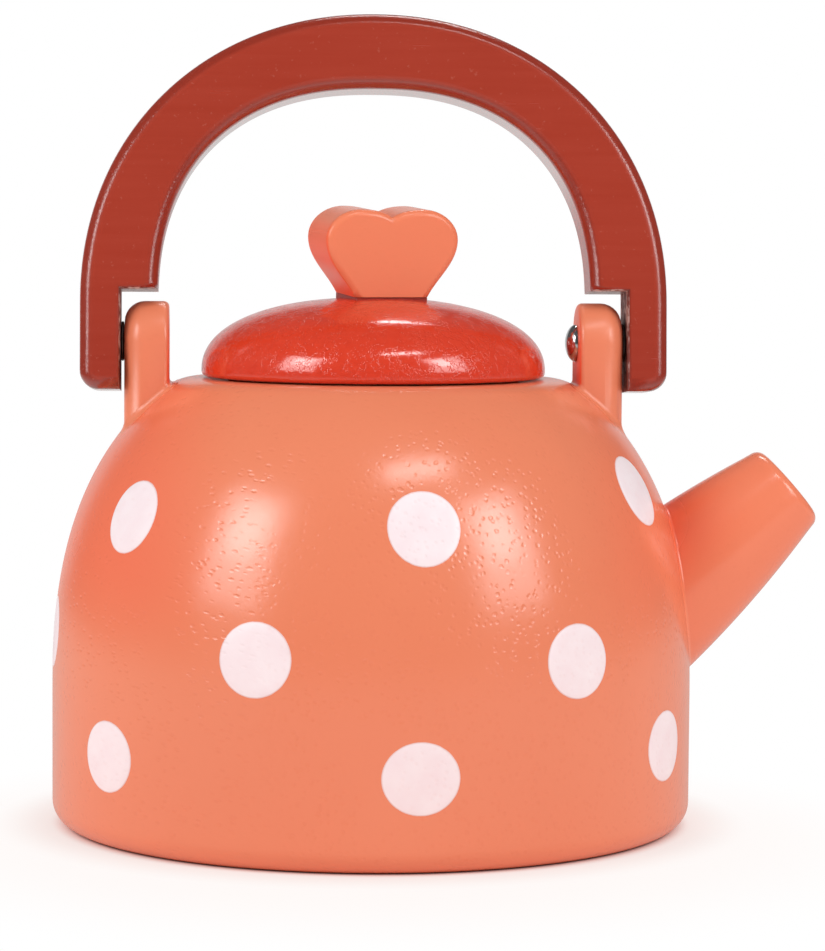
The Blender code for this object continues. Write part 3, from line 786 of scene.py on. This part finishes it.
def add_dot(dots, edge_mask, height, angle):
    """One round film with a soft edge, made flat and then laid on the pot, a little taller higher up."""
    tall = 1.0 + DOT_STRETCH * (height - DOT_ROUND_HEIGHT) / MM
    before = set(dots.verts)
    disc = bmesh.ops.create_circle(dots, cap_ends=True, segments=64, radius=DOT_RADIUS)["verts"]
    middle = list(disc[0].link_faces)
    for width in DOT_RINGS:
        bmesh.ops.inset_region(dots, faces=middle, thickness=width * MM,
                               use_boundary=True, use_even_offset=True)
    bmesh.ops.poke(dots, faces=middle)
    for vert in set(dots.verts) - before:
        from_edge = DOT_RADIUS - math.hypot(vert.co.x, vert.co.y)
        inward = min(from_edge / DOT_EDGE, 1.0)
        vert[edge_mask] = 1.0 - inward
        lift = DOT_FILM * (2 * inward - 1)
        up = along_side(height, vert.co.y * tall)
        around = angle + vert.co.x / tall / pot_radius(up)
        reach = pot_radius(up) + lift
        vert.co = (reach * math.sin(around), -reach * math.cos(around), up)


# Ears

def make_ear(name, side, paint):
    """A sawn ear with its screw hole, and a countersink in the left one. Side is -1 or 1."""
    half = EAR_WIDTH / 2
    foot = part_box(name)[0][2] - PIVOT_HEIGHT
    outline = arc((0.0, 0.0), half, 0, 180, 40) + [(-half, foot), (half, foot)]
    shape = sawn(outline, EAR_THICKNESS)
    inner_share = EAR_INNER_ROUND / EAR_OUTER_ROUND
    mark_rims(shape, lambda middle: 1.0 if middle.z > 0 else inner_share)
    upright = Matrix(((0, 0, 1, 0), (1, 0, 0, 0), (0, 1, 0, 0), (0, 0, 0, 1)))
    half_turn = Matrix.Rotation(math.pi if side < 0 else 0.0, 4, "Z")
    place = Matrix.Translation((side * EAR_MIDDLE_X, 0.0, PIVOT_HEIGHT))
    bmesh.ops.transform(shape, matrix=place @ half_turn @ upright, verts=shape.verts)
    ear = as_piece(name + "_sawn", shape, "kettle", [paint], [name])
    round_rims(ear, EAR_OUTER_ROUND, 7, Vector((1.0, 0.0, 0.0)))
    across = place @ Matrix.Rotation(math.pi / 2, 4, "Y")
    cut_away(ear, drill_shape(SCREW_HOLE_RADIUS, SCREW_HOLE_RADIUS, 2 * EAR_THICKNESS, across))
    if side < 0:
        depth = SCREW_HEAD_HEIGHT + FLUSH_DEPTH
        mouth = across @ Matrix.Translation((0.0, 0.0, EAR_THICKNESS / 2 - depth / 2 + CUT_OVERLAP))
        wide = SCREW_HEAD_RADIUS + COUNTERSINK_CLEARANCE
        cut_away(ear, drill_shape(wide, SCREW_HOLE_RADIUS, depth, mouth))


def make_ear_fillet(name, side, paint):
    """Paint that fills the corner where an ear stands on the dome."""
    half_x, half_y = EAR_THICKNESS / 2, EAR_WIDTH / 2
    corners, insides, outsides = [], [], []
    for quarter in range(4):
        sign_x = 1 if quarter in (0, 3) else -1
        sign_y = 1 if quarter in (0, 1) else -1
        corner_round = EAR_OUTER_ROUND if sign_x > 0 else EAR_INNER_ROUND
        centre = (sign_x * (half_x - corner_round), sign_y * (half_y - corner_round))
        for x, y in arc(centre, corner_round, 90 * quarter, 90 * quarter + 90, 8):
            out = Vector((x - centre[0], y - centre[1])).normalized()
            at = Vector((side * (EAR_MIDDLE_X + x), y))
            away = Vector((side * out.x, out.y))
            foot = at + away * EAR_FILLET
            inner = at - away * FILLET_SINK
            corners.append(Vector((at.x, at.y, dome_height(at.length))))
            insides.append(Vector((inner.x, inner.y, dome_height(at.length) + EAR_FILLET)))
            outsides.append(Vector((foot.x, foot.y, dome_height(foot.length) - FILLET_SINK)))
    shape = paint_fillet(corners, insides, outsides)
    as_piece(name + "_fillet", shape, "kettle", [paint])


# Lid and heart

def lid_matrix():
    """Where the lid rests, turned a little."""
    return Matrix.Translation((0.0, 0.0, LID_BASE_HEIGHT)) @ Matrix.Rotation(LID_TURN, 4, "Z")


def make_lid(paint, wood):
    """The turned lid with its spigot, bare underneath."""
    start = math.acos((SCREW_HOLE_RADIUS / LID_RADIUS) ** (LID_POWER / 2))
    dome = superellipse(LID_RADIUS, LID_RISE - LID_RIM_ROUND, LID_POWER, start, 0.0, 48)
    bore_top = COUNTERBORE_DEPTH - SPIGOT_DEPTH
    profile = [(radius, LID_RIM_ROUND + up) for radius, up in dome]
    profile += arc((LID_RADIUS - LID_RIM_ROUND, LID_RIM_ROUND), LID_RIM_ROUND, 0, -90, 8)[1:]
    profile += [(SPIGOT_RADIUS + LID_SEAT_RING, 0.0), (SPIGOT_RADIUS, 0.0)]
    profile += [(SPIGOT_RADIUS, -SPIGOT_RING_DEPTH)]
    profile += arc((SPIGOT_RADIUS - SPIGOT_ROUND, SPIGOT_ROUND - SPIGOT_DEPTH), SPIGOT_ROUND, 0, -90, 5)
    profile += [(LID_UNDERSIDE_RING, -SPIGOT_DEPTH), (COUNTERBORE_RADIUS, -SPIGOT_DEPTH)]
    profile += [(COUNTERBORE_RADIUS, bore_top), (SCREW_HOLE_RADIUS, bore_top)]
    shape = turned(profile, 160, ring=True)
    for face in shape.faces:
        middle = face.calc_center_median()
        if middle.z < 0.0 or math.hypot(middle.x, middle.y) < SCREW_HOLE_RADIUS:
            face.material_index = 1
    bmesh.ops.transform(shape, matrix=lid_matrix(), verts=shape.verts)
    as_piece("lid_turned", shape, "lid", [paint, wood], ["lid"])


def heart_outline():
    """Right half by three curves from the foot to the cleft, then its mirror image."""
    above_foot = KNOB_FOOT.lerp(KNOB_WIDEST, KNOB_FOOT_PULL)
    curves = (
        (KNOB_FOOT, above_foot, KNOB_WIDEST - KNOB_SIDE_PULL, KNOB_WIDEST),
        (KNOB_WIDEST, KNOB_WIDEST + KNOB_SHOULDER_PULL, KNOB_LOBE + KNOB_LOBE_OUTER_PULL, KNOB_LOBE),
        (KNOB_LOBE, KNOB_LOBE - KNOB_LOBE_INNER_PULL, KNOB_CLEFT + KNOB_CLEFT_PULL, KNOB_CLEFT),
    )
    right = []
    for start, first, second, end in curves:
        right += [point.xy for point in interpolate_bezier(start, first, second, end, 14)[:-1]]
    left = [(-point.x, point.y) for point in reversed(right)]
    return [tuple(point) for point in right] + [tuple(KNOB_CLEFT)] + left


def make_knob(paint, joint_paint_and_shade):
    """The sawn heart, leaning a little, and the paint in the joint under it, dark as painted shade."""
    shape = sawn(heart_outline(), KNOB_THICKNESS)
    mark_rims(shape, lambda middle: 1.0 if middle.y > KNOB_FOOT.y else KNOB_FOOT_ROUND_SHARE)
    upright = Matrix.Rotation(math.pi / 2, 4, "X")
    place = lid_matrix() @ Matrix.Translation((KNOB_OFFSET, 0, LID_RISE + KNOB_LIFT))
    place = place @ Matrix.Rotation(KNOB_LEAN, 4, "X")
    bmesh.ops.transform(shape, matrix=place @ upright, verts=shape.verts)
    heart = as_piece("heart_sawn", shape, "lid", [paint], ["heart_knob"])
    round_rims(heart, KNOB_ROUND, 5, place.to_3x3() @ Vector((0.0, 1.0, 0.0)), clamp=False)
    seam = bmesh.new()
    width = 2 * KNOB_FOOT.x - KNOB_SEAM_MARGIN
    depth = KNOB_THICKNESS - KNOB_SEAM_MARGIN
    under = Matrix.Translation((0, 0, -KNOB_SEAM / 2)) @ Matrix.Diagonal((width, depth, KNOB_SEAM, 1.0))
    bmesh.ops.create_cube(seam, size=1.0, matrix=place @ under)
    as_piece("heart_seam", seam, "lid", [joint_paint_and_shade])


# Handle and its pivots

def handle_matrix():
    """The swing line, with the handle's lean at rest."""
    return Matrix.Translation((0.0, 0.0, PIVOT_HEIGHT)) @ Matrix.Rotation(-HANDLE_LEAN, 4, "X")


def handle_outline():
    """The arch with a cheek and a notch at each end, about the swing line."""
    outer = superellipse(HANDLE_HALF_WIDTH, ARCH_RISE, ARCH_POWER, 0.0, math.pi / 2, 56)
    inner = superellipse(ARCH_INNER_HALF_WIDTH, ARCH_INNER_RISE, ARCH_INNER_POWER, 0.0, math.pi / 2, 56)
    corner = (HANDLE_HALF_WIDTH - CHEEK_CORNER, CHEEK_CORNER - CHEEK_DROP)
    right = [(CHEEK_INNER_X, -CHEEK_DROP)]
    right += arc(corner, CHEEK_CORNER, -90, 0, 10)
    right += [(across, ARCH_SPRING_RISE + up) for across, up in outer]
    notch = [(across, ARCH_SPRING_RISE + up) for across, up in reversed(inner)]
    notch = [point for point in notch if point[1] > NOTCH_RISE + NOTCH_MARGIN]
    notch += [(ARCH_INNER_HALF_WIDTH, NOTCH_RISE), (CHEEK_INNER_X, NOTCH_RISE)]
    left = [(-across, up) for across, up in reversed(right[:-1])]
    notch_left = [(-across, up) for across, up in reversed(notch[1:])]
    return right + left + notch_left + notch


def rim_share(middle):
    """The notches are sawn after the long edges are rounded, so theirs are only eased."""
    return NOTCH_ROUND / HANDLE_ROUND if in_notch(middle) else 1.0


def in_notch(middle):
    """Whether a point of the outline lies on a notch's cuts."""
    inside = abs(middle.x) < CHEEK_INNER_X + NOTCH_TOLERANCE
    return inside and middle.y < NOTCH_RISE + NOTCH_TOLERANCE


def make_handle(paint, under_paint_and_reflection, side_paint):
    """The sawn arch, with thin paint on the level and the upright cuts of its notches, the level cuts paler
    as a painted reflection.
    """
    shape = sawn(handle_outline(), HANDLE_THICKNESS)
    mark_rims(shape, rim_share)
    for face in shape.faces:
        if abs(face.normal.z) < 0.5 and in_notch(face.calc_center_median()):
            face.material_index = 1 if face.normal.y < -0.5 else 2
    upright = Matrix.Rotation(math.pi / 2, 4, "X")
    bmesh.ops.transform(shape, matrix=handle_matrix() @ upright, verts=shape.verts)
    paints = [paint, under_paint_and_reflection, side_paint]
    handle = as_piece("handle_sawn", shape, "handle", paints, ["handle"])
    round_rims(handle, HANDLE_ROUND, 7, handle_matrix().to_3x3() @ Vector((0.0, 1.0, 0.0)))


def make_screw(name, side, steel):
    """A round head shows on the right, the left one lies flush in its countersink."""
    if side < 0:
        head = [(0.0, 0.0), (SCREW_HEAD_RING, 0.0)]
        head += arc((SCREW_HEAD_RADIUS - SCREW_HEAD_EDGE, -SCREW_HEAD_EDGE), SCREW_HEAD_EDGE, 90, 0, 3)
        head += [(SHANK_RADIUS, -SCREW_HEAD_HEIGHT)]
        head_x = EAR_INNER_X + FLUSH_DEPTH
    else:
        head = superellipse(SCREW_HEAD_RADIUS, SCREW_HEAD_HEIGHT, 2.0, math.pi / 2, 0.0, 16)
        head += [(SCREW_HEAD_RADIUS - SCREW_HEAD_STEP, 0.0), (SHANK_RADIUS, 0.0)]
        head_x = EAR_INNER_X - FACE_GAP
    profile = head + [(SHANK_RADIUS, SCREW_POINT - SCREW_LENGTH), (0.0, -SCREW_LENGTH)]
    place = Matrix.Translation((side * head_x, 0.0, PIVOT_HEIGHT))
    place = place @ Matrix.Rotation(-side * math.pi / 2, 4, "Y")
    shape = turned(profile, 64)
    bmesh.ops.transform(shape, matrix=place, verts=shape.verts)
    as_piece(name + "_turned", shape, "handle", [steel], [name])


def make_washer(name, side, steel):
    """A washer in the slit between an ear and the handle's cheek."""
    half = WASHER_THICKNESS / 2
    profile = [(SCREW_HOLE_RADIUS, half), (WASHER_RADIUS - half, half)]
    profile += arc((WASHER_RADIUS - half, 0.0), half, 90, -90, 6)
    profile += [(SCREW_HOLE_RADIUS, -half)]
    shape = turned(profile, 64, ring=True)
    place = Matrix.Translation((side * (EAR_OUTER_X + CHEEK_INNER_X) / 2, 0.0, PIVOT_HEIGHT))
    bmesh.ops.transform(shape, matrix=place @ Matrix.Rotation(math.pi / 2, 4, "Y"), verts=shape.verts)
    as_piece(name + "_ring", shape, "handle", [steel], [name])


# Floor, light and camera

def make_floor():
    """A pale floor that keeps the shadow near the kettle and is plain white further off, with a painted
    shadow ring under the pot's edge and a pink tint of painted bounce light.
    """
    shape = bmesh.new()
    bmesh.ops.create_grid(shape, x_segments=1, y_segments=1, size=FLOOR_HALF_SIZE)
    mesh = bpy.data.meshes.new("floor")
    shape.to_mesh(mesh)
    shape.free()
    floor = bpy.data.objects.new("floor", mesh)
    bpy.context.scene.collection.objects.link(floor)
    finish = Finish("white_floor")
    length = finish.node("ShaderNodeVectorMath", {"operation": "LENGTH"}, {0: finish.coords()})
    from_middle = Value(finish, length.outputs["Value"])
    # Painted shadow: a dark ring right under the pot's edge, on a pink floor colour that stands in for
    # light bounced off the pot
    outside = finish.between(from_middle, 0.0560, 0.0580)
    shadow_and_bounce_tint = finish.mixed(outside, colour(0.36, 0.11, 0.07), colour(0.88, 0.64, 0.57))
    finish.set(Base_Color=shadow_and_bounce_tint, Roughness=0.8)
    far = 0.7 * finish.between(from_middle, 0.056, 0.0605) + 0.3 * finish.between(from_middle, 0.058, 0.072)
    to_back = finish.along((0.0, 1.0, 0.0))
    # Painted bounce light: a pink tint near the kettle where the floor is seen, and a pink glow for diffuse
    # rays that lights the pot's lower part
    clear = finish.between(from_middle + 0.2 * to_back, 0.054, 0.105)
    glow = finish.mixed(clear, colour(1.0, 0.950, 0.932), colour(1.0, 1.0, 1.0))
    behind = finish.between(to_back - 0.88 * from_middle, 0.0, 0.06)
    shaded = (1.0 - behind) * (1.0 - 0.5 * finish.between(from_middle, 1.0, 0.5))
    mirrored = finish.mixed(shaded, colour(0.85, 0.85, 0.85), colour(0.36, 0.32, 0.30))
    thrown_back = finish.mixed(clear, colour(1.0, 0.67, 0.54), colour(1.0, 0.92, 0.88))
    glow = finish.mixed(finish.rays(0.0, 1.0, 0.0), glow, mirrored)
    glow = finish.mixed(finish.rays(0.0, 0.0, 1.0), glow, thrown_back)
    white = finish.node("ShaderNodeEmission", {}, {"Color": glow})
    share = far * finish.rays(1.0, 0.8, 0.6)
    both = finish.node("ShaderNodeMixShader", {},
                       {0: share, 1: finish.shader.outputs[0], 2: white.outputs[0]})
    finish.feed(finish.tree.nodes["Material Output"].inputs["Surface"], both.outputs[0])
    mesh.materials.append(finish.material)


def make_world():
    """White where it is seen, for mirrored rays only behind the kettle, and a soft fill light."""
    world = bpy.data.worlds.new("white_room")
    bpy.context.scene.world = world
    world.use_nodes = True
    room = Finish("white_room", world.node_tree)
    fill = room.tree.nodes["Background"]
    fill.inputs["Color"].default_value = colour(1.0, 1.0, 1.0)
    fill.inputs["Strength"].default_value = 0.36
    dim = room.node("ShaderNodeBackground", {}, {"Color": colour(1.0, 1.0, 1.0), "Strength": 0.1})
    white = room.node("ShaderNodeBackground", {}, {"Color": colour(1.0, 1.0, 1.0)})
    towards = room.node("ShaderNodeTexCoord").outputs["Generated"]
    parts = room.node("ShaderNodeSeparateXYZ", {}, {0: towards}).outputs
    back, up = Value(room, parts["Y"]), Value(room, parts["Z"])
    behind_kettle = 0.65 * room.between(back, 0.79, 0.93) * room.between(up, 0.42, 0.26)
    surround = room.node("ShaderNodeMixShader", {},
                         {0: room.rays(0.0, 1.0), 1: fill.outputs[0], 2: dim.outputs[0]})
    both = room.node("ShaderNodeMixShader", {},
                     {0: room.rays(1.0, behind_kettle), 1: surround.outputs[0], 2: white.outputs[0]})
    room.feed(room.tree.nodes["World Output"].inputs["Surface"], both.outputs[0])


def add_softbox(name, azimuth, elevation, distance, width, height, watts, mirrored=True):
    """A rectangular lamp aimed at the kettle, azimuth 0 is in front and 90 on the spout's side."""
    lamp = bpy.data.lights.new(name, "AREA")
    lamp.shape = "RECTANGLE"
    lamp.size = width
    lamp.size_y = height
    lamp.energy = watts
    turn, lift = math.radians(azimuth), math.radians(elevation)
    level = math.cos(lift)
    towards = Vector((math.sin(turn) * level, -math.cos(turn) * level, math.sin(lift)))
    holder = bpy.data.objects.new(name, lamp)
    holder.visible_glossy = mirrored
    holder.location = LAMP_AIM + towards * distance
    holder.rotation_euler = towards.to_track_quat("Z", "Y").to_euler()
    bpy.context.scene.collection.objects.link(holder)


def make_camera():
    """The photograph's point of view."""
    level = math.cos(CAMERA_PITCH)
    ahead = Vector((-math.sin(CAMERA_AZIMUTH), math.cos(CAMERA_AZIMUTH), 0.0))
    aside = Vector((math.cos(CAMERA_AZIMUTH), math.sin(CAMERA_AZIMUTH), 0.0))
    forward = ahead * level - Vector((0.0, 0.0, math.sin(CAMERA_PITCH)))
    untilt = Matrix.Rotation(-CAMERA_ROLL, 3, forward)
    right, up = untilt @ aside, untilt @ aside.cross(forward)
    lens = bpy.data.cameras.new("camera")
    lens.lens = CAMERA_LENS
    lens.sensor_width = CAMERA_SENSOR
    camera = bpy.data.objects.new("camera", lens)
    camera.rotation_euler = Matrix((right, up, -forward)).transposed().to_euler()
    camera.location = aside * CAMERA_SIDEWAYS - ahead * CAMERA_DISTANCE + Vector((0.0, 0.0, CAMERA_HEIGHT))
    bpy.context.scene.collection.objects.link(camera)
    bpy.context.scene.camera = camera


def main():
    bpy.context.scene.view_settings.view_transform = "Standard"
    coral = coral_paint("coral_paint", pit_depth=0.036, flush=pot_painted_side_shade)
    # The spout and heart take a redder coral than the pot, painted light that makes up for the less light
    # on them
    spout_coral = coral_paint("spout_coral_paint", red=0.9, flush=spout_painted_shade)
    ear_coral = coral_paint("ear_coral_paint", roughness=0.27, ior=1.6, flush=ear_painted_reflection)
    heart_coral = coral_paint("heart_coral_paint", red=0.88, ior=1.4, flush=heart_painted_reflection)
    red = lid_paint()
    brick = handle_paint()
    # The level cuts' paler blotches are partly a painted reflection of the white floor; the upright cuts
    # take the same paint with darker blotches
    under_cut_and_reflection = sawn_paint("under_cut_paint", colour(0.72, 0.60, 0.55), 0.2)
    side_cut = sawn_paint("side_cut_paint", colour(0.58, 0.38, 0.33), 0.5)
    wood = bare_wood()
    steel = bright_steel()
    dark = dark_steel()

    make_pot(coral, wood)
    make_spout(spout_coral)
    make_spout_fillet(spout_coral)
    make_dots(dot_paint())
    make_lid(red, wood)
    make_knob(heart_coral, seam_paint_and_shade())
    make_handle(brick, under_cut_and_reflection, side_cut)
    for name, side in (("left", -1), ("right", 1)):
        make_ear(name + "_ear", side, ear_coral)
        make_ear_fillet(name + "_ear", side, ear_coral)
        make_screw(name + "_pivot_screw", side, steel)
        make_washer(name + "_pivot_washer", side, dark)
    knob_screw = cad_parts["knob_screw"]
    knob_screw.data.materials.clear()
    knob_screw.data.materials.append(steel)

    make_floor()
    make_world()
    add_softbox("left_softbox", -55, 26, 1.1, 0.48, 0.66, 3.4)
    add_softbox("left_hot_spot", -54, 30, 1.08, 0.24, 0.32, 1.1)
    add_softbox("right_softbox", 50, 26, 1.1, 0.48, 0.66, 3.3)
    add_softbox("right_hot_spot", 49, 30, 1.08, 0.24, 0.32, 1.05)
    add_softbox("top_strip", 25, 58, 1.1, 0.42, 0.12, 1.4)
    add_softbox("back_softbox", 169, 53, 1.1, 0.36, 0.12, 1.5)
    add_softbox("left_fill", -105, 15, 1.1, 1.0, 0.8, 3.2, mirrored=False)
    add_softbox("right_fill", 105, 15, 1.1, 1.0, 0.8, 1.6, mirrored=False)
    make_camera()


main()
